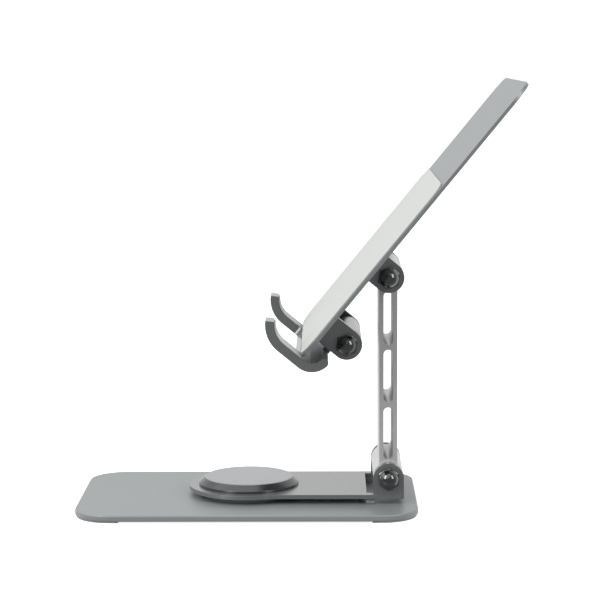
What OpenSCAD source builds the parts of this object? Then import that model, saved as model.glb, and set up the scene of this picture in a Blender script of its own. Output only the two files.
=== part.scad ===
// Folding tablet stand with a rotating base.
// Origin: centre of the base plate on the surface it stands on, which is also the turntable axis.
// +Z is up, +X points to the side that carries the upright arm, Y runs across the tray.

/* [Base] */
// Length of the base plate, along X
base_w = 200; // [180:1:240]
// Depth of the base plate, along Y
base_d = 119; // [110:1:150]
// Thickness of the steel base plate
base_t = 3.8; // [3:0.1:5]
// Corner radius of the base plate
base_r = 21.5; // [10:0.5:30]
// Thickness of the rubber foot strips
foot_t = 0.9; // [0.6:0.1:1.5]

/* [Turntable] */
// Gap between the base plate and the swivel plate
plate_gap = 3.3; // [2.5:0.1:5]
// Thickness of the swivel plate
plate_t = 2.5; // [2:0.1:4]
// Radius of the swivel plate's round end
round_r = 35.6; // [33:0.1:40]
// Half of the swivel plate's width where its sides are straight
plate_half = 32.6; // [32:0.1:33]
// Radius of the cap where it meets the swivel plate
cap_r = 29.9; // [28:0.1:31]
// Radius of the cap's flat top
cap_top_r = 26; // [22:0.5:27]
// Height of the cap
cap_h = 4.7; // [4.5:0.1:8]

/* [Hinges] */
// Distance from the turntable axis to the lower hinge axis
arm_x = 83; // [75:0.5:90]
// Height of the lower hinge axis over the table
lower_z = 20; // [20:0.1:24]
// Radius of the hinge ears
ear_r = 9; // [8.8:0.1:10]
// Thickness of the hinge ears
ear_t = 3.5; // [3:0.1:4]
// Radius of the barrels that turn between the ears
barrel_r = 8.9; // [8:0.1:8.9]
// Half the length of the barrels
barrel_half = 26; // [24:0.5:26]
// Radius of the hinge pins
pin_r = 3; // [2.5:0.1:3.2]
// Width across the flats of the cap nuts
nut_af = 12; // [10:0.5:13]

/* [Arm] */
// Distance between the arm's two hinge axes
arm_len = 118.3; // [100:0.1:140]
// Width of the arm between its barrels
arm_w = 46; // [40:1:50]
// Thickness of the arm
arm_t = 10.6; // [9:0.1:12]
// Number of slots through the arm
slot_count = 3; // [1:1:4]
// Length of each slot
slot_len = 31.2; // [20:0.1:32]
// Width of each slot
slot_w = 5.5; // [4.5:0.1:6]

/* [Tray] */
// Width of the tray, along Y
tray_w = 150; // [140:1:170]
// Length of the tray along its slope
tray_len = 197.6; // [180:0.1:220]
// Thickness of the tray panel
tray_t = 2; // [1.6:0.1:3]
// Corner radius of the tray panel
tray_r = 14; // [10:0.5:30]
// Tilt of the tray from the horizontal, as modelled
tray_angle = 50.6; // [48:0.1:56]
// Distance from the tilt axis down to the tray's lower edge
tray_low = 63; // [58:0.1:63.2]
// Distance from the tilt axis forward to the back of the tray
tray_off = 11.6; // [11.4:0.1:14]
// Length of the silicone pad
pad_len = 123.8; // [100:0.1:130]
// Thickness of the silicone pad
pad_t = 1; // [0.8:0.1:2]

/* [Hooks] */
// Distance from the tilt axis down the tray to the hook axis
hook_down = 45.6; // [44:0.1:48]
// Distance of the hook axis behind the tilt axis
hook_back = 5.9; // [5.5:0.1:7]
// Distance between the outer faces of the two hooks
hook_span = 128; // [110:1:140]
// Width of each hook
hook_w = 16; // [12:0.5:20]
// Thickness of the bent metal band
band_t = 5; // [4:0.1:6]
// Thickness of the silicone liner inside the hooks
liner_t = 0.8; // [0.6:0.1:1.2]

/* [Hidden] */
$fn = 96;

base_top = foot_t + base_t;
plate_low = base_top + plate_gap;
plate_top = plate_low + plate_t;
upper_z = lower_z + arm_len;
// A sliding face that must turn freely keeps this much air
slide_gap = 0.05;
// Extra length that carries a cutting tool past the surface it opens
past = 1;

// Foot strips lie along the two short ends of the base and follow its corners
foot_w = 27;
foot_inset = 0.8;

// Turntable pivot, from the underside up
pivot_r = 5;
pivot_head_r = 9;
pivot_head_t = 1.8;
pivot_foot_r = 14;
glide_ring_r = 28;
cap_wall = 1.2;
cap_side_h = 1.3;
cap_edge = 0.35;
spanner_hole_r = 0.6;
spanner_hole_x = 7.5;
spanner_hole_y = -17;
spanner_hole_depth = 0.6;
wave_t = 0.5;
wave_h = 0.7;
wave_r = 10;
washer_t = 0.7;
pivot_washer_r = 11;
thin_nut_h = 1.7;
thin_nut_r = 8.6;
// Radial air round a bolt that passes through a clearance hole
bolt_gap = 0.3;
// Radial air between a screwed or pressed piece and its seat
press_gap = 0.02;

// Glide pads that keep the swivel arm level over the base
glide_l = 6;
glide_w = 4.5;
glide_x = 72.5;
glide_corner = 1.2;
glide_lift = 0.3;

// Notch in the swivel plate that the lower barrel sits over
plate_end = arm_x + ear_r;
notch_x = 70.3;
notch_half = 26.6;
notch_end = plate_end - 3.5;
plate_corner = 3;
ear_ledge = 0.6;
ear_half = plate_half - ear_ledge;
ear_in = ear_half - ear_t;

// Hinge stack between the barrel's end and the ear: bush flange, spring washer, steel washer
flange_t = 0.8;
spring_h = 0.9;
spring_t = 0.5;
spring_r = 6.8;
friction_t = ear_in - barrel_half - flange_t - spring_h - 2 * slide_gap;
bush_r = 4.6;
bush_len = 9;
bush_flange_r = 7;
washer_r = 7.2;
// The pin runs free in the middle of each barrel, between the bushes
pin_relief = 0.5;

// Webs between the arm's slots, and the fillets where the bar meets its barrels
slot_web = 3;
arm_fillet_r = 4;

// Cap nuts on both ends of each pin
nut_h = 3;
dome_r = 5.6;
dome_h = 4.1;
nut_bore_depth = 4.6;
pin_end = ear_half + 4.2;
pin_chamfer = 0.6;

// Brackets behind the tray
flange_plate_t = 2.5;
tilt_flange_l = 27;
hook_flange_l = 22;
screw_r = 1.5;
screw_head_r = 2.9;
screw_head_h = 1.4;
screw_y = 20;
screw_s = 8;
screw_land = 0.1;

// Silicone pad outline
pad_inset = 0.8;
pad_top_r = 10;

// Hook band in the hook frame: x runs up the tray, y runs forward
floor_x = -24;
lip_r = 19.1;
lip_y = 31.2;
lip_angle = 58;
rear_r = 12.6;
rear_y = 16.5;
rear_angle = 262;
cross_front = 19;
neck_half = 25;
neck_t = 4.4;
neck_sunk = 1.5;
neck_inset = 0.2;
corner_r = 3;
// Where the liner starts, and how far it stays inside the edges of a hook
liner_y = 18.5;
liner_inset = 0.8;
liner_short = 4;

// ---------- helpers ----------

// Rounded rectangle centred on the origin, with its own true-arc corners
module rounded(w, d, r) {
    union() {
        square([w - 2 * r, d], center = true);
        square([w, d - 2 * r], center = true);
        for (sx = [-1, 1], sy = [-1, 1])
            translate([sx * (w / 2 - r), sy * (d / 2 - r)])
                circle(r);
    }
}

// Extrudes an X-Z outline along Y, centred
module across(width) {
    rotate([90, 0, 0])
        linear_extrude(width, center = true)
            children();
}

// A cylinder along Y, centred
module rod_y(r, length) {
    rotate([90, 0, 0])
        cylinder(r = r, h = length, center = true);
}

// Places children at the lower hinge axis, the tilt axis and the hook axis
module at_lower() {
    translate([arm_x, 0, lower_z])
        children();
}

module at_tilt() {
    translate([arm_x, 0, upper_z])
        rotate([0, -tray_angle, 0])
            children();
}

module at_hook() {
    at_tilt()
        translate([-hook_down, 0, -hook_back])
            children();
}

// Repeats a child for both ends of a hinge, its own +Z pointing outwards
module both_ends(y) {
    for (side = [0, 180])
        rotate([0, 0, side])
            translate([0, -y, 0])
                rotate([90, 0, 0])
                    children();
}

// Washer lying on z = 0
module washer(r_out, r_in, t) {
    difference() {
        cylinder(r = r_out, h = t);
        translate([0, 0, -past])
            cylinder(r = r_in, h = t + 2 * past);
    }
}

// Points of an arc, from angle a0 to angle a1
function arc(cx, cy, r, a0, a1, steps) =
    [for (i = [0 : steps]) let (a = a0 + (a1 - a0) * i / steps) [cx + r * cos(a), cy + r * sin(a)]];

// ---------- base ----------

module base_plate() {
    color("silver")
        translate([0, 0, foot_t])
            difference() {
                linear_extrude(base_t)
                    rounded(base_w, base_d, base_r);
                translate([0, 0, -past])
                    cylinder(r = pivot_r + slide_gap, h = base_t + 2 * past);
                translate([0, 0, -past])
                    cylinder(r = pivot_head_r + bolt_gap, h = pivot_head_t + past);
            }
}

module foot_strip(side) {
    middle = side * (base_w - foot_w) / 2;
    linear_extrude(foot_t)
        intersection() {
            rounded(base_w - 2 * foot_inset, base_d - 2 * foot_inset, base_r - foot_inset);
            translate([middle - foot_w / 2, -base_d / 2])
                square([foot_w, base_d]);
        }
}

module foot_strip_left() {
    color("dimgray")
        foot_strip(-1);
}

module foot_strip_right() {
    color("dimgray")
        foot_strip(1);
}

// Round rubber pad that covers the pivot bolt's head
module pivot_foot() {
    color("dimgray")
        cylinder(r = pivot_foot_r, h = foot_t);
}

module pivot_bolt() {
    color("gainsboro")
        translate([0, 0, foot_t])
            union() {
                cylinder(r = pivot_head_r, h = pivot_head_t);
                cylinder(r = pivot_r, h = plate_top - foot_t + wave_h + washer_t + thin_nut_h);
            }
}

// Nylon ring that the swivel plate turns on
module glide_ring() {
    color("whitesmoke")
        translate([0, 0, base_top])
            washer(glide_ring_r, pivot_r + bolt_gap, plate_gap - slide_gap);
}

module pivot_washer() {
    color("gainsboro")
        translate([0, 0, plate_top + wave_h])
            washer(pivot_washer_r, pivot_r + slide_gap, washer_t);
}

module pivot_nut() {
    color("gainsboro")
        translate([0, 0, plate_top + wave_h + washer_t])
            difference() {
                cylinder(r = thin_nut_r, h = thin_nut_h, $fn = 6);
                translate([0, 0, -past])
                    cylinder(r = pivot_r + press_gap, h = thin_nut_h + 2 * past);
            }
}

// ---------- swivel ----------

// Plan of the swivel plate: round end, straight arm, rounded far corners, notch and pivot hole
module swivel_outline() {
    straight = plate_end - plate_corner;
    difference() {
        union() {
            circle(round_r);
            translate([0, -plate_half])
                square([straight, 2 * plate_half]);
            translate([straight - past, -plate_half + plate_corner])
                square([plate_corner + past, 2 * (plate_half - plate_corner)]);
            for (side = [-1, 1])
                translate([straight, side * (plate_half - plate_corner)])
                    circle(plate_corner);
        }
        circle(pivot_r + bolt_gap);
        translate([notch_x, -notch_half])
            square([notch_end - notch_x, 2 * notch_half]);
    }
}

// Upright ear with a round top, in the X-Z plane
module ear_profile() {
    union() {
        translate([-ear_r, plate_low - lower_z])
            square([2 * ear_r, lower_z - plate_low]);
        circle(ear_r);
    }
}

module swivel_plate() {
    color("dimgray")
        difference() {
            union() {
                translate([0, 0, plate_low])
                    linear_extrude(plate_t)
                        swivel_outline();
                at_lower()
                    for (side = [-1, 1])
                        translate([0, side * (ear_half - ear_t / 2), 0])
                            across(ear_t)
                                ear_profile();
            }
            at_lower()
                rod_y(pin_r + slide_gap, 2 * ear_half + 2 * past);
        }
}

// Hollow bevelled disc that hides the pivot nut
module turntable_cap() {
    inner_r = cap_r - cap_wall;
    inner_h = cap_h - cap_wall;
    color("gray")
        translate([0, 0, plate_top])
            difference() {
                rotate_extrude()
                    polygon([
                        [0, inner_h], [cap_top_r - cap_wall, inner_h],
                        [inner_r, cap_side_h - cap_wall / 3], [inner_r, 0], [cap_r, 0],
                        [cap_r, cap_side_h], [cap_top_r + cap_edge, cap_h - cap_edge],
                        [cap_top_r - cap_edge, cap_h], [0, cap_h]
                    ]);
                for (side = [-1, 1])
                    translate([side * spanner_hole_x, spanner_hole_y, cap_h - spanner_hole_depth])
                        cylinder(r = spanner_hole_r, h = past);
            }
}

// Conical spring washer, lying on z = 0
module cone_washer(r_in, r_out, height, t) {
    rotate_extrude()
        polygon([[r_in, height - t], [r_in, height], [r_out, t], [r_out, 0]]);
}

module pivot_wave_washer() {
    color("gainsboro")
        translate([0, 0, plate_top])
            cone_washer(pivot_r + bolt_gap, wave_r, wave_h - slide_gap, wave_t);
}

// Small nylon pads that keep the swivel arm level over the base
module glide_pads() {
    color("whitesmoke")
        for (side = [-1, 1])
            translate([glide_x, side * (notch_half + glide_w / 2), base_top + glide_lift])
                linear_extrude(plate_gap - glide_lift)
                    rounded(glide_l, glide_w, glide_corner);
}

// ---------- hinge hardware ----------

module hinge_pin() {
    rotate([90, 0, 0])
        union() {
            cylinder(r = pin_r, h = 2 * (pin_end - pin_chamfer), center = true);
            for (side = [0, 180])
                rotate([side, 0, 0])
                    translate([0, 0, pin_end - pin_chamfer])
                        cylinder(r1 = pin_r, r2 = pin_r - pin_chamfer, h = pin_chamfer);
        }
}

// Domed cap nut, seat on z = 0
module cap_nut() {
    dome_ball_r = (dome_r * dome_r + dome_h * dome_h) / (2 * dome_h);
    corner_r = nut_af / 2 / cos(30);
    chamfer = corner_r - nut_af / 2;
    difference() {
        union() {
            intersection() {
                cylinder(r = corner_r, h = nut_h, $fn = 6);
                rotate_extrude()
                    polygon([
                        [0, 0], [corner_r - chamfer / 2, 0], [corner_r, chamfer / 3],
                        [corner_r, nut_h - chamfer * 0.8], [nut_af / 2 - 0.3, nut_h], [0, nut_h]
                    ]);
            }
            translate([0, 0, nut_h])
                intersection() {
                    cylinder(r = dome_r + past, h = dome_h + past);
                    translate([0, 0, dome_h - dome_ball_r])
                        sphere(dome_ball_r);
                }
        }
        translate([0, 0, -past])
            cylinder(r = pin_r + press_gap, h = nut_bore_depth + past);
    }
}

module hinge_nuts() {
    color("black")
        both_ends(ear_half)
            rotate([0, 0, 90])
                cap_nut();
}

// Flat friction washers against the inside of both ears
module friction_washers() {
    color("gainsboro")
        both_ends(ear_in - friction_t)
            washer(washer_r, pin_r + slide_gap, friction_t);
}

// Conical spring washers between the bush flange and the friction washer
module spring_washers() {
    color("gainsboro")
        both_ends(barrel_half + flange_t + slide_gap)
            cone_washer(pin_r + 2 * slide_gap, spring_r, spring_h, spring_t);
}

// Flanged nylon bushes pressed into both ends of a barrel
module bushes() {
    color("whitesmoke")
        both_ends(barrel_half)
            difference() {
                union() {
                    cylinder(r = bush_flange_r, h = flange_t);
                    translate([0, 0, -bush_len])
                        cylinder(r = bush_r, h = bush_len + flange_t / 2);
                }
                translate([0, 0, -bush_len - past])
                    cylinder(r = pin_r + slide_gap, h = bush_len + flange_t + 2 * past);
            }
}

module lower_hinge_pin() {
    color("gainsboro")
        at_lower()
            hinge_pin();
}

module lower_cap_nuts() {
    at_lower()
        hinge_nuts();
}

module lower_friction_washers() {
    at_lower()
        friction_washers();
}

module lower_spring_washers() {
    at_lower()
        spring_washers();
}

module upper_hinge_pin() {
    color("gainsboro")
        at_tilt()
            hinge_pin();
}

module upper_cap_nuts() {
    at_tilt()
        hinge_nuts();
}

module upper_friction_washers() {
    at_tilt()
        friction_washers();
}

module upper_spring_washers() {
    at_tilt()
        spring_washers();
}

module hook_hinge_pin() {
    color("gainsboro")
        at_hook()
            hinge_pin();
}

module hook_cap_nuts() {
    at_hook()
        hinge_nuts();
}

module hook_friction_washers() {
    at_hook()
        friction_washers();
}

module hook_spring_washers() {
    at_hook()
        spring_washers();
}

// ---------- arm ----------

// Concave fillet between a barrel and the bar, for one quarter, its ends sunk into both
module barrel_fillet() {
    r = arm_fillet_r;
    h = arm_t / 2;
    y = sqrt(pow(barrel_r + r, 2) - pow(h + r, 2));
    start = 180 + atan2(y, h + r);
    sunk = 0.85 * barrel_r / (barrel_r + r);
    root = h - 2;
    top = y + 0.6;
    curve = [for (p = arc(h + r, y, r, start, 180, 8)) if (norm(p) > barrel_r + 0.1 && p[0] > h + 0.02) p];
    polygon(concat([[root, 0], [(h + r) * sunk, y * sunk]], curve, [[h - 0.3, top], [root, top]]));
}

module arm_bar_profile() {
    first = (arm_len - slot_count * slot_len - (slot_count - 1) * slot_web) / 2;
    difference() {
        union() {
            translate([-arm_t / 2, 0])
                square([arm_t, arm_len]);
            for (sx = [0, 1])
                mirror([sx, 0])
                    barrel_fillet();
            translate([0, arm_len])
                mirror([0, 1])
                    for (sx = [0, 1])
                        mirror([sx, 0])
                            barrel_fillet();
        }
        for (i = [0 : slot_count - 1])
            translate([0, first + i * (slot_len + slot_web)])
                union() {
                    translate([-slot_w / 2, slot_w / 2])
                        square([slot_w, slot_len - slot_w]);
                    for (end = [slot_w / 2, slot_len - slot_w / 2])
                        translate([0, end])
                            circle(slot_w / 2);
                }
    }
}

module arm() {
    color("lightgray")
        at_lower()
            difference() {
                union() {
                    across(arm_w)
                        arm_bar_profile();
                    for (z = [0, arm_len])
                        translate([0, 0, z])
                            rod_y(barrel_r, 2 * barrel_half);
                }
                for (z = [0, arm_len])
                    translate([0, 0, z]) {
                        rod_y(pin_r + pin_relief, 2 * barrel_half + 2 * past);
                        both_ends(barrel_half - bush_len - bolt_gap)
                            cylinder(r = bush_r + press_gap, h = bush_len + past);
                    }
            }
}

module arm_lower_bushes() {
    at_lower()
        bushes();
}

module arm_upper_bushes() {
    at_tilt()
        bushes();
}

// ---------- tray ----------

// Centre of the tray along its slope, measured from the tilt axis
tray_mid = tray_len / 2 - tray_low;

// Screw places for one bracket centred at s
module at_screws(s) {
    for (ds = [-screw_s, screw_s], y = [-screw_y, screw_y])
        translate([s + ds, y, tray_off])
            children();
}

// Countersunk screw body, its seat plane at z = 0 and its head flush with the tray's face
module screw_body(extra) {
    rotate_extrude()
        polygon([
            [0, -flange_plate_t], [screw_r + extra, -flange_plate_t],
            [screw_r + extra, tray_t - screw_head_h], [screw_head_r + extra, tray_t - screw_land],
            [screw_head_r + extra, tray_t], [0, tray_t]
        ]);
}

module tray_panel() {
    color("darkgray")
        at_tilt()
            difference() {
                translate([tray_mid, 0, tray_off])
                    linear_extrude(tray_t)
                        rounded(tray_len, tray_w, tray_r);
                at_screws(0)
                    screw_body(slide_gap);
                at_screws(-hook_down)
                    screw_body(slide_gap);
            }
}

// The pad follows the lower corners of the tray and ends in two small corners higher up
module pad_outline() {
    w = tray_w - 2 * pad_inset;
    r = tray_r - pad_inset;
    low = -tray_low + pad_inset;
    high = low + pad_len;
    union() {
        translate([low + r, -w / 2])
            square([pad_len - r - pad_top_r, w]);
        translate([low, -w / 2 + r])
            square([r + past, w - 2 * r]);
        translate([high - pad_top_r - past, -w / 2 + pad_top_r])
            square([pad_top_r + past, w - 2 * pad_top_r]);
        for (side = [-1, 1]) {
            translate([low + r, side * (w / 2 - r)])
                circle(r);
            translate([high - pad_top_r, side * (w / 2 - pad_top_r)])
                circle(pad_top_r);
        }
    }
}

module tray_pad() {
    color("whitesmoke")
        at_tilt()
            translate([0, 0, tray_off + tray_t])
                linear_extrude(pad_t)
                    pad_outline();
}

// Bracket screwed behind the tray: a flat flange with two ears that hold a pin at depth
module bracket(length, depth) {
    difference() {
        union() {
            translate([-length / 2, -ear_half, depth - flange_plate_t])
                cube([length, 2 * ear_half, flange_plate_t]);
            for (side = [-1, 1])
                translate([0, side * (ear_half - ear_t / 2), 0])
                    across(ear_t)
                        union() {
                            circle(ear_r);
                            translate([-ear_r, 0])
                                square([2 * ear_r, depth]);
                        }
        }
        rod_y(pin_r + slide_gap, 2 * ear_half + 2 * past);
        for (ds = [-screw_s, screw_s], y = [-screw_y, screw_y])
            translate([ds, y, depth - flange_plate_t - past])
                cylinder(r = screw_r + slide_gap, h = flange_plate_t + 2 * past);
    }
}

module tilt_bracket() {
    color("dimgray")
        at_tilt()
            bracket(tilt_flange_l, tray_off);
}

module hook_bracket() {
    color("dimgray")
        at_hook()
            bracket(hook_flange_l, tray_off + hook_back);
}

module tilt_bracket_screws() {
    color("gray")
        at_tilt()
            at_screws(0)
                screw_body(0);
}

module hook_bracket_screws() {
    color("gray")
        at_tilt()
            at_screws(-hook_down)
                screw_body(0);
}

// ---------- hooks ----------

// Both arcs of the band share the floor's outer face
lip_x = floor_x + lip_r;
lip_stop = 180 - lip_angle;
rear_x = floor_x + rear_r;

// Full side profile of a hook: lip, floor, rear bend and its round end
module hook_profile() {
    half = band_t / 2;
    mid = rear_r - half;
    end = [rear_x + mid * cos(rear_angle), rear_y + mid * sin(rear_angle)];
    polygon(concat(
        arc(lip_x, lip_y, lip_r, 180, lip_stop, 20),
        arc(lip_x, lip_y, lip_r - band_t, lip_stop, 180, 20),
        arc(rear_x, rear_y, rear_r - band_t, 180, rear_angle, 20),
        arc(end[0], end[1], half, rear_angle - 195, rear_angle - 345, 10),
        arc(rear_x, rear_y, rear_r, rear_angle, 180, 28)
    ));
}

// Side profile of the cross bar: the hook without its lip
module cross_profile() {
    intersection() {
        hook_profile();
        translate([floor_x - past, -past])
            square([-floor_x, cross_front + past]);
    }
}

// Neck that ties the cross bar to the barrel
module neck_profile() {
    root = rear_x - neck_sunk;
    translate([root, rear_y - rear_r + neck_inset])
        square([-root, neck_t]);
}

// Rounded inside corner where a hook leaves the cross bar
module corner_fillet(side) {
    inside = hook_span / 2 - hook_w;
    translate([floor_x, side * inside, cross_front])
        difference() {
            translate([0, side > 0 ? -corner_r : 0, 0])
                cube([band_t, corner_r, corner_r]);
            translate([-past, -side * corner_r, corner_r])
                rotate([0, 90, 0])
                    cylinder(r = corner_r, h = band_t + 2 * past);
        }
}

module hook_frame() {
    color("dimgray")
        at_hook()
            difference() {
                union() {
                    for (side = [-1, 1])
                        translate([0, side * (hook_span - hook_w) / 2, 0])
                            across(hook_w)
                                hook_profile();
                    across(hook_span - hook_w)
                        cross_profile();
                    across(2 * neck_half)
                        neck_profile();
                    rod_y(barrel_r, 2 * barrel_half);
                    for (side = [-1, 1])
                        corner_fillet(side);
                }
                rod_y(pin_r + pin_relief, 2 * barrel_half + 2 * past);
                both_ends(barrel_half - bush_len - bolt_gap)
                    cylinder(r = bush_r + press_gap, h = bush_len + past);
            }
}

// Liner on the inner face of a hook's lip and floor
module liner_profile() {
    outer = lip_r - band_t;
    stop = lip_stop + liner_short;
    polygon(concat(
        [[floor_x + band_t, liner_y]],
        arc(lip_x, lip_y, outer, 180, stop, 18),
        arc(lip_x, lip_y, outer - liner_t, stop, 180, 18),
        [[floor_x + band_t + liner_t, liner_y]]
    ));
}

module hook_liners() {
    color("whitesmoke")
        at_hook()
            for (side = [-1, 1])
                translate([0, side * (hook_span - hook_w) / 2, 0])
                    across(hook_w - 2 * liner_inset)
                        liner_profile();
}

module hook_bushes() {
    at_hook()
        bushes();
}

base_plate();
foot_strip_left();
foot_strip_right();
pivot_foot();
pivot_bolt();
glide_ring();
pivot_washer();
pivot_nut();
swivel_plate();
turntable_cap();
pivot_wave_washer();
glide_pads();
lower_hinge_pin();
lower_cap_nuts();
lower_friction_washers();
arm();
arm_lower_bushes();
arm_upper_bushes();
lower_spring_washers();
upper_spring_washers();
tray_panel();
tray_pad();
tilt_bracket();
hook_bracket();
tilt_bracket_screws();
hook_bracket_screws();
upper_hinge_pin();
upper_cap_nuts();
upper_friction_washers();
hook_hinge_pin();
hook_cap_nuts();
hook_friction_washers();
hook_frame();
hook_liners();
hook_bushes();
hook_spring_washers();
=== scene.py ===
"""Folding tablet stand with a rotating base: its materials, soft parts, light and camera."""
import math

import bmesh
import bpy
from mathutils import Matrix, Vector


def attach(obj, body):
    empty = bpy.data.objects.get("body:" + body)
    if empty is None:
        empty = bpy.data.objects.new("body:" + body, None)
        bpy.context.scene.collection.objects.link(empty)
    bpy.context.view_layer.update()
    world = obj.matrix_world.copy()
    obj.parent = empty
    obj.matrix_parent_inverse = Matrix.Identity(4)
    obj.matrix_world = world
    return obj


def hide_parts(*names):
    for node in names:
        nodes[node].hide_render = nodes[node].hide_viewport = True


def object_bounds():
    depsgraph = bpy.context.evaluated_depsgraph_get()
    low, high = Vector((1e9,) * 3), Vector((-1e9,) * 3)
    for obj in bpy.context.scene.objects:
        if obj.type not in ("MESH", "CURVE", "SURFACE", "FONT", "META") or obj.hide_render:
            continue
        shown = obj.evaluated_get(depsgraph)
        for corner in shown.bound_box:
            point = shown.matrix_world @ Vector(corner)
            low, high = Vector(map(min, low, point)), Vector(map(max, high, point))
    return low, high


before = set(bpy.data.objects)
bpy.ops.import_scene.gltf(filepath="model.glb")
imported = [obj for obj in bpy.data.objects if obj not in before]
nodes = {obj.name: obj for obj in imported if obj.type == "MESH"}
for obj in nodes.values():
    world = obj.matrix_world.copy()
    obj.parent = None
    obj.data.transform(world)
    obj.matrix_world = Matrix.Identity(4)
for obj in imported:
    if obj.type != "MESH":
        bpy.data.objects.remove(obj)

MM = 0.001
cad_low, cad_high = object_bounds()


# ---------- node helpers ----------

class Surface:
    """A Principled material with short calls for the textures that drive it."""

    def __init__(self, name, **sockets):
        self.material = bpy.data.materials.new(name)
        self.material.use_nodes = True
        self.tree = self.material.node_tree
        self.shader = self.tree.nodes["Principled BSDF"]
        self.place = self.node("ShaderNodeTexCoord").outputs["Object"]
        for socket, value in sockets.items():
            self.shader.inputs[socket.replace("_", " ")].default_value = value

    def node(self, kind, **settings):
        made = self.tree.nodes.new(kind)
        for key, value in settings.items():
            setattr(made, key, value)
        return made

    def link(self, source, target):
        self.tree.links.new(source, target)

    def stretched(self, stretch):
        """Object coordinates multiplied along X, Y and Z."""
        mapping = self.node("ShaderNodeMapping")
        mapping.inputs["Scale"].default_value = stretch
        self.link(self.place, mapping.inputs["Vector"])
        return mapping.outputs["Vector"]

    def noise(self, size, detail=2.0, stretch=(1, 1, 1)):
        """Noise whose cells are about size metres across."""
        made = self.node("ShaderNodeTexNoise")
        made.inputs["Scale"].default_value = 1 / size
        made.inputs["Detail"].default_value = detail
        self.link(self.stretched(stretch), made.inputs["Vector"])
        return made.outputs["Fac"]

    def spread(self, source, low, high):
        """Maps the middle of a noise to the range low to high."""
        made = self.node("ShaderNodeMapRange")
        made.inputs["From Min"].default_value = 0.3
        made.inputs["From Max"].default_value = 0.7
        made.inputs["To Min"].default_value = low
        made.inputs["To Max"].default_value = high
        self.link(source, made.inputs["Value"])
        return made.outputs["Result"]

    def blend_colours(self, factor, first, second):
        made = self.node("ShaderNodeMix", data_type="RGBA")
        made.inputs["A"].default_value = (*first, 1)
        made.inputs["B"].default_value = (*second, 1)
        self.link(factor, made.inputs["Factor"])
        return made.outputs["Result"]

    def chosen(self, factor, first, second):
        """One of two colour sources, by a factor of 0 or 1."""
        made = self.node("ShaderNodeMix", data_type="RGBA")
        self.link(factor, made.inputs["Factor"])
        self.link(first, made.inputs["A"])
        self.link(second, made.inputs["B"])
        return made.outputs["Result"]

    def colour(self, source):
        self.link(source, self.shader.inputs["Base Color"])

    def roughness(self, source):
        self.link(source, self.shader.inputs["Roughness"])

    def bumps(self, *layers):
        """Stacks height layers, each a (height, depth in metres) pair."""
        normal = None
        for height, depth in layers:
            made = self.node("ShaderNodeBump")
            made.inputs["Strength"].default_value = 1
            made.inputs["Distance"].default_value = depth
            self.link(height, made.inputs["Height"])
            if normal is not None:
                self.link(normal, made.inputs["Normal"])
            normal = made.outputs["Normal"]
        self.link(normal, self.shader.inputs["Normal"])


def tinted(value, tint=(1, 1, 1)):
    """A grey of that value times a slight tint."""
    return tuple(value * part for part in tint)


SPACE_GREY = (0.95, 1.0, 1.01)
PALE_SAGE = (0.965, 1.0, 0.955)
BLUISH = (0.98, 1.0, 1.02)
IVORY = (1.01, 1.0, 0.98)


# ---------- materials ----------

def coated_metal(name, shade, rough, metallic):
    """Sandblasted and anodised metal: fine grain, faint clouding and handling marks."""
    s = Surface(name, Metallic=metallic)
    grain = s.noise(0.9 * MM, 4)
    s.colour(s.blend_colours(grain, tinted(shade * 0.94, SPACE_GREY), tinted(shade * 1.06, SPACE_GREY)))
    s.roughness(s.spread(s.noise(5 * MM, 5), rough - 0.015, rough + 0.015))
    s.bumps((s.noise(0.35 * MM, 2), 0.0015 * MM), (s.noise(1.6 * MM, 2), 0.002 * MM))
    return s.material


def extruded_aluminium(name):
    """Silver anodised extrusion with its die lines running across the arm."""
    s = Surface(name, Metallic=0.5)
    lines = s.noise(0.5 * MM, 3, stretch=(1, 0.02, 1))
    s.colour(s.blend_colours(lines, tinted(0.60), tinted(0.68)))
    s.roughness(s.spread(s.noise(6 * MM, 3, stretch=(1, 0.1, 1)), 0.30, 0.40))
    s.bumps((lines, 0.008 * MM), (s.noise(0.3 * MM, 2), 0.003 * MM))
    return s.material


def turned_metal(name, shade, top_radius):
    """Cap turned on a lathe: satin rings round the Z axis on top; outside top_radius the bevel's colour is
    cut to about a quarter of the top's, a painted shade.
    """
    s = Surface(name, Metallic=0.75)
    radius = s.node("ShaderNodeVectorMath", operation="LENGTH")
    s.link(s.stretched((1, 1, 0)), radius.inputs[0])
    rings = s.node("ShaderNodeTexNoise", noise_dimensions="1D")
    rings.inputs["Scale"].default_value = 1 / (0.3 * MM)
    s.link(radius.outputs["Value"], rings.inputs["W"])
    on_bevel = s.node("ShaderNodeMapRange")
    on_bevel.inputs["From Min"].default_value = top_radius
    on_bevel.inputs["From Max"].default_value = top_radius + 0.1 * MM
    s.link(radius.outputs["Value"], on_bevel.inputs["Value"])
    satin = s.blend_colours(s.noise(20 * MM, 3), tinted(shade * 0.97, BLUISH), tinted(shade * 1.03, BLUISH))
    # painted shade: the bevel outside top_radius gets about a quarter of the top's colour, standing in for
    # the shade it falls in
    painted_shade_bevel = s.blend_colours(s.noise(9 * MM, 3), tinted(shade * 0.23, BLUISH), tinted(shade * 0.27, BLUISH))
    s.colour(s.chosen(on_bevel.outputs["Result"], satin, painted_shade_bevel))
    rough = s.node("ShaderNodeMix", data_type="FLOAT")
    s.link(on_bevel.outputs["Result"], rough.inputs["Factor"])
    s.link(s.spread(rings.outputs["Fac"], 0.34, 0.42), rough.inputs[2])
    s.link(s.spread(rings.outputs["Fac"], 0.20, 0.26), rough.inputs[3])
    s.roughness(rough.outputs[0])
    s.bumps((rings.outputs["Fac"], 0.004 * MM))
    return s.material


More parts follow.
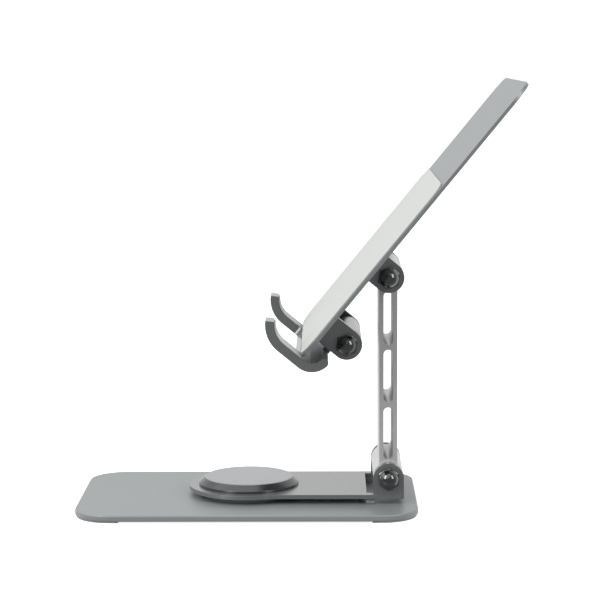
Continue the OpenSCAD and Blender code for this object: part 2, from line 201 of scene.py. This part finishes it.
def silicone(name, shade):
    """Matte silicone skin with a fine moulded grain."""
    s = Surface(name, Subsurface_Weight=0.15, Specular_IOR_Level=0.35)
    s.shader.inputs["Subsurface Radius"].default_value = (1.2 * MM, 1.1 * MM, 1.0 * MM)
    clouds = s.noise(35 * MM, 3)
    s.colour(s.blend_colours(clouds, tinted(shade * 0.98, PALE_SAGE), tinted(shade * 1.02, PALE_SAGE)))
    s.roughness(s.spread(s.noise(4 * MM, 3), 0.58, 0.72))
    grain = s.node("ShaderNodeTexVoronoi")
    grain.inputs["Scale"].default_value = 1 / (0.55 * MM)
    s.link(s.place, grain.inputs["Vector"])
    s.bumps((grain.outputs["Distance"], 0.012 * MM), (s.noise(2.5 * MM, 2), 0.010 * MM))
    return s.material


def rubber(name, shade):
    """Grey foot rubber, dusty and matte."""
    s = Surface(name, Specular_IOR_Level=0.3)
    dust = s.noise(3 * MM, 4)
    s.colour(s.blend_colours(dust, tinted(shade * 0.8, SPACE_GREY), tinted(shade * 1.2, SPACE_GREY)))
    s.roughness(s.spread(s.noise(2 * MM, 3), 0.72, 0.88))
    s.bumps((s.noise(0.4 * MM, 3), 0.03 * MM))
    return s.material


def black_chrome(name):
    """Black chromed cap nuts under a lacquer skin, with faint polishing marks."""
    s = Surface(name, Metallic=1.0, Coat_Weight=1.0, Coat_Roughness=0.03)
    s.colour(s.blend_colours(s.noise(4 * MM, 3), tinted(0.085, BLUISH), tinted(0.115, BLUISH)))
    s.roughness(s.spread(s.noise(1.2 * MM, 4), 0.09, 0.15))
    s.bumps((s.noise(2.2 * MM, 1), 0.004 * MM))
    return s.material


def zinc_steel(name):
    """Zinc plated steel with a brushed grain."""
    s = Surface(name, Metallic=1.0)
    s.colour(s.blend_colours(s.noise(1.5 * MM, 4), tinted(0.48, BLUISH), tinted(0.62, IVORY)))
    s.roughness(s.spread(s.noise(0.8 * MM, 3, stretch=(1, 0.1, 1)), 0.26, 0.42))
    s.bumps((s.noise(0.4 * MM, 3, stretch=(1, 0.1, 1)), 0.008 * MM))
    return s.material


def nylon(name):
    """Grey nylon with a slight waxy sheen."""
    s = Surface(name, Subsurface_Weight=0.2, Specular_IOR_Level=0.4)
    s.shader.inputs["Subsurface Radius"].default_value = (1.0 * MM, 0.95 * MM, 0.9 * MM)
    s.colour(s.blend_colours(s.noise(5 * MM, 3), tinted(0.25, BLUISH), tinted(0.29, BLUISH)))
    s.roughness(s.spread(s.noise(3 * MM, 3), 0.42, 0.55))
    s.bumps((s.noise(0.6 * MM, 2), 0.01 * MM))
    return s.material


CAP_TOP_RADIUS = 26.2 * MM

MATERIALS = {
    "base_metal": coated_metal("base_metal", 0.34, 0.46, 0.3),
    "dark_metal": coated_metal("dark_metal", 0.24, 0.22, 0.6),
    "cap_metal": turned_metal("cap_metal", 0.42, CAP_TOP_RADIUS),
    "tray_metal": coated_metal("tray_metal", 0.36, 0.48, 0.85),
    "arm_aluminium": extruded_aluminium("arm_aluminium"),
    "silicone": silicone("silicone", 0.60),
    "rubber": rubber("rubber", 0.46),
    "black_nut": black_chrome("black_nut"),
    "steel": zinc_steel("steel"),
    "nylon": nylon("nylon"),
}


# ---------- mesh finish ----------

def clean_shading_group():
    """Geometry nodes that join the triangles' split corners and drop the stored normals."""
    group = bpy.data.node_groups.new("joined_corners", "GeometryNodeTree")
    group.interface.new_socket("Geometry", in_out="INPUT", socket_type="NodeSocketGeometry")
    group.interface.new_socket("Geometry", in_out="OUTPUT", socket_type="NodeSocketGeometry")
    enter = group.nodes.new("NodeGroupInput")
    merge = group.nodes.new("GeometryNodeMergeByDistance")
    merge.inputs["Distance"].default_value = 0.001 * MM
    normal = group.nodes.new("GeometryNodeSetMeshNormal")
    normal.mode = "SHARPNESS"
    normal.inputs["Remove Custom"].default_value = True
    normal.inputs["Edge Sharpness"].default_value = False
    normal.inputs["Face Sharpness"].default_value = False
    leave = group.nodes.new("NodeGroupOutput")
    group.links.new(enter.outputs[0], merge.inputs["Geometry"])
    group.links.new(merge.outputs[0], normal.inputs["Mesh"])
    group.links.new(normal.outputs[0], leave.inputs[0])
    return group


JOINED_CORNERS = clean_shading_group()


def finish_edges(piece, width, segments=3):
    """Rounds every edge by width metres and shades the piece smoothly, flats staying flat."""
    clean = piece.modifiers.new("joined_corners", "NODES")
    clean.node_group = JOINED_CORNERS
    flat = piece.modifiers.new("flat_faces", "DECIMATE")
    flat.decimate_type = "DISSOLVE"
    flat.angle_limit = math.radians(0.4)
    bevel = piece.modifiers.new("edges", "BEVEL")
    bevel.width = width
    bevel.segments = segments
    bevel.limit_method = "ANGLE"
    bevel.angle_limit = math.radians(32)
    bevel.use_clamp_overlap = True
    normals = piece.modifiers.new("normals", "WEIGHTED_NORMAL")
    normals.keep_sharp = False


EDGE_WIDTHS = {
    "base_plate": 0.9, "swivel_plate": 0.5, "turntable_cap": 0.35, "arm": 0.35,
    "tray_panel": 0.4, "tilt_bracket": 0.4, "hook_bracket": 0.4, "hook_frame": 0.6,
}
SMALL_EDGE = 0.12

for name, piece in nodes.items():
    slot = piece.data.materials[0].name.split(".")[0]
    piece.data.materials[0] = MATERIALS[slot]
    finish_edges(piece, EDGE_WIDTHS.get(name, SMALL_EDGE) * MM)


# ---------- moulded soft parts ----------

def widest_face(node, towards):
    """Ring of points round the node's largest face that looks towards a direction, its normal and its depth.

    One result for each solid of the node."""
    work = bmesh.new()
    work.from_mesh(nodes[node].data)
    bmesh.ops.remove_doubles(work, verts=work.verts, dist=0.001 * MM)
    bmesh.ops.dissolve_limit(work, angle_limit=math.radians(0.5), verts=work.verts, edges=work.edges)
    found = []
    unseen = set(work.faces)
    while unseen:
        queue = [unseen.pop()]
        solid = list(queue)
        while queue:
            for edge in queue.pop().edges:
                for face in edge.link_faces:
                    if face in unseen:
                        unseen.remove(face)
                        solid.append(face)
                        queue.append(face)
        facing = [face for face in solid if face.normal.dot(towards) > 0.1]
        face = max(facing, key=lambda one: one.calc_area())
        ring = [vert.co.copy() for vert in face.verts]
        depth = max((ring[0] - vert.co).dot(face.normal) for one in solid for vert in one.verts)
        found.append((ring, face.normal.copy(), depth))
    work.free()
    return found


def inset_ring(ring, normal, inset):
    """The ring moved inwards in its own plane by inset metres."""
    moved = []
    count = len(ring)
    for i, point in enumerate(ring):
        before = (point - ring[i - 1]).normalized()
        after = (ring[(i + 1) % count] - point).normalized()
        inwards = normal.cross(before) + normal.cross(after)
        inwards.normalize()
        moved.append(point + inwards * (inset / max(inwards.dot(normal.cross(after)), 0.5)))
    return moved


def moulded(name, ring, normal, levels, body, slot, stands_for=None):
    """Lofts a soft part through its levels, each a (depth under the face, inset) pair in mm."""
    work = bmesh.new()
    rows = [
        [work.verts.new(point - normal * (depth * MM)) for point in inset_ring(ring, normal, inset * MM)]
        for depth, inset in levels
    ]
    count = len(ring)
    work.faces.new(rows[0])
    work.faces.new(list(reversed(rows[-1])))
    for upper, lower in zip(rows, rows[1:]):
        for i in range(count):
            j = (i + 1) % count
            work.faces.new((upper[j], upper[i], lower[i], lower[j]))
    bmesh.ops.recalc_face_normals(work, faces=work.faces)
    for face in work.faces:
        face.smooth = True
    mesh = bpy.data.meshes.new(name)
    work.to_mesh(mesh)
    work.free()
    mesh.materials.append(MATERIALS[slot])
    piece = bpy.data.objects.new(name, mesh)
    bpy.context.scene.collection.objects.link(piece)
    normals = piece.modifiers.new("normals", "WEIGHTED_NORMAL")
    normals.keep_sharp = False
    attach(piece, body)
    if stands_for:
        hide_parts(stands_for)


UP = Vector((0, 0, 1))
DOWN = -UP

# Silicone sheet of the tray, on a thin darker rubber layer that paints the shade along the pad's side
pad_ring, pad_normal, pad_depth = widest_face("tray_pad", UP)[0]
skin = [(0, 0.34), (0.02, 0.20), (0.06, 0.10), (0.14, 0.03), (0.26, 0), (0.42, 0), (0.46, 0.06)]
moulded("tray_pad_skin", pad_ring, pad_normal, skin, "tray", "silicone", "tray_pad")
# painted shade: this darker layer makes the pad's side dark where only shade falls
shaded_side_levels = [(0.45, 0.20), (0.50, 0.12), (pad_depth / MM - 0.06, 0.10), (pad_depth / MM, 0.12)]
moulded("tray_pad_shade_layer", pad_ring, pad_normal, shaded_side_levels, "tray", "rubber")

# Liners of the two hooks: rounded sides and three shallow grip lines along each finger
for side, (ring, normal, depth) in zip(("near", "far"), sorted(
        widest_face("hook_liners", Vector((0, -1, 0))), key=lambda one: one[0][0].y)):
    width = depth / MM
    half_line = 0.45
    liner = [(0, 0.30), (0.05, 0.14), (0.14, 0.05), (0.30, 0)]
    for line in (0.3, 0.5, 0.7):
        middle = width * line
        liner += [(middle - half_line, 0), (middle - half_line / 2, 0.10), (middle + half_line / 2, 0.10)]
        liner += [(middle + half_line, 0)]
    liner += [(width - 0.30, 0), (width - 0.14, 0.05), (width - 0.05, 0.14), (width, 0.30)]
    moulded("hook_liner_" + side, ring, normal, liner, "hooks", "silicone", "hook_liners")

# Feet: a rounded rim, and a moulded groove on the face that stands on the table
for node in ("foot_strip_left", "foot_strip_right", "pivot_foot"):
    ring, normal, depth = widest_face(node, DOWN)[0]
    foot = [(0, 4.2), (0.25, 4.0), (0.25, 2.6), (0, 2.4), (0, 0.30), (0.06, 0.10), (0.18, 0), (depth / MM, 0)]
    moulded("moulded_" + node, ring, normal, foot, "base", "rubber", node)


# ---------- floor, light and camera ----------

FRONT_LIGHT = 0.36          # world strength in front of the object
BACKDROP_LIGHT = 1.25       # world strength behind it
CEILING_SHARE = 0.5         # part of that which is left straight overhead
BACKGROUND_WHITE = 1.05     # what the camera itself sees of the world
FLOOR_HALF_WIDTH = 12.0
FLOOR_GLOW = 0.62
WINDOW_SIZE = (0.50, 1.00)
CAMERA_PLACE = (47.2 * MM, -1173.3 * MM, 273.3 * MM)
CAMERA_ANGLES = (7.38, -0.78, -0.26)   # pitch, yaw and roll in degrees
CAMERA_LENS = 119.5


def add_stage():
    """Pale floor that glows a little, and neither lights, shades nor mirrors the object."""
    half = FLOOR_HALF_WIDTH
    corners = [(-half, -half, 0), (half, -half, 0), (half, half, 0), (-half, half, 0)]
    mesh = bpy.data.meshes.new("floor")
    mesh.from_pydata(corners, [], [(0, 1, 2, 3)])
    floor = bpy.data.objects.new("floor", mesh)
    bpy.context.scene.collection.objects.link(floor)
    s = Surface("floor_paper", Roughness=0.9, Specular_IOR_Level=0.1, Emission_Strength=FLOOR_GLOW)
    s.shader.inputs["Emission Color"].default_value = (1, 1, 1, 1)
    s.colour(s.blend_colours(s.noise(60 * MM, 3), tinted(0.88), tinted(0.91)))
    mesh.materials.append(s.material)
    floor.visible_diffuse = False
    floor.visible_glossy = False
    floor.visible_shadow = False


def add_world():
    """White behind the object, dim in front and overhead, as in a studio with one bright backdrop."""
    world = bpy.data.worlds.new("studio")
    world.use_nodes = True
    tree = world.node_tree
    tree.nodes.clear()

    def ramp(source, start, end, low, high):
        made = tree.nodes.new("ShaderNodeMapRange")
        made.interpolation_type = "SMOOTHSTEP"
        for socket, value in zip(("From Min", "From Max", "To Min", "To Max"), (start, end, low, high)):
            made.inputs[socket].default_value = value
        tree.links.new(source, made.inputs["Value"])
        return made.outputs["Result"]

    path = tree.nodes.new("ShaderNodeLightPath")
    place = tree.nodes.new("ShaderNodeTexCoord")
    split = tree.nodes.new("ShaderNodeSeparateXYZ")
    tree.links.new(place.outputs["Generated"], split.inputs[0])
    product = tree.nodes.new("ShaderNodeMath")
    product.operation = "MULTIPLY"
    tree.links.new(ramp(split.outputs["Y"], -0.5, 0.6, FRONT_LIGHT, BACKDROP_LIGHT), product.inputs[0])
    tree.links.new(ramp(split.outputs["Z"], 0.45, 0.95, 1.0, CEILING_SHARE), product.inputs[1])
    lit = tree.nodes.new("ShaderNodeBackground")
    tree.links.new(product.outputs[0], lit.inputs["Strength"])
    seen = tree.nodes.new("ShaderNodeBackground")
    seen.inputs["Color"].default_value = (1, 1, 1, 1)
    seen.inputs["Strength"].default_value = BACKGROUND_WHITE
    mix = tree.nodes.new("ShaderNodeMixShader")
    out = tree.nodes.new("ShaderNodeOutputWorld")
    tree.links.new(path.outputs["Is Camera Ray"], mix.inputs["Fac"])
    tree.links.new(lit.outputs[0], mix.inputs[1])
    tree.links.new(seen.outputs[0], mix.inputs[2])
    tree.links.new(mix.outputs[0], out.inputs[0])
    bpy.context.scene.world = world


def add_sun(name, from_side, from_back, strength, spread):
    """A wide soft sun, tilted from the vertical towards -X and towards +Y by the given degrees."""
    data = bpy.data.lights.new(name, "SUN")
    data.energy = strength
    data.angle = math.radians(spread)
    lamp = bpy.data.objects.new(name, data)
    bpy.context.scene.collection.objects.link(lamp)
    lamp.rotation_euler = (math.radians(-from_back), math.radians(-from_side), 0)


def add_softbox(name, position, watts):
    """A rectangular area light that faces the middle of the object."""
    data = bpy.data.lights.new(name, "AREA")
    data.shape = "RECTANGLE"
    data.size, data.size_y = WINDOW_SIZE
    data.energy = watts
    lamp = bpy.data.objects.new(name, data)
    bpy.context.scene.collection.objects.link(lamp)
    lamp.location = position
    aim = (cad_low + cad_high) / 2
    lamp.rotation_euler = (aim - lamp.location).to_track_quat("-Z", "Y").to_euler()


def add_camera():
    """Camera at the viewing angle, from its place and three small angles."""
    pitch, yaw, roll = (math.radians(angle) for angle in CAMERA_ANGLES)
    ahead = Vector((math.sin(yaw), math.cos(yaw), 0))
    side = Vector((math.cos(yaw), -math.sin(yaw), 0))
    up = Vector((0, 0, 1))
    look = ahead * math.cos(pitch) - up * math.sin(pitch)
    top = ahead * math.sin(pitch) + up * math.cos(pitch)
    right = side * math.cos(roll) + top * math.sin(roll)
    top = top * math.cos(roll) - side * math.sin(roll)
    data = bpy.data.cameras.new("camera")
    data.lens = CAMERA_LENS
    data.clip_start = 0.05
    data.clip_end = 50
    camera = bpy.data.objects.new("camera", data)
    bpy.context.scene.collection.objects.link(camera)
    turn = Matrix((right, top, -look)).transposed().to_4x4()
    camera.matrix_world = Matrix.Translation(CAMERA_PLACE) @ turn
    bpy.context.scene.camera = camera


add_world()
add_stage()
add_sun("top_light", 28, -20, 1.5, 90)
add_softbox("front_left_window", (-0.92, -0.92, 0.82), 7.5)
add_softbox("front_right_window", (1.06, -0.92, 0.82), 6.2)
add_camera()
bpy.context.scene.view_settings.view_transform = "Standard"
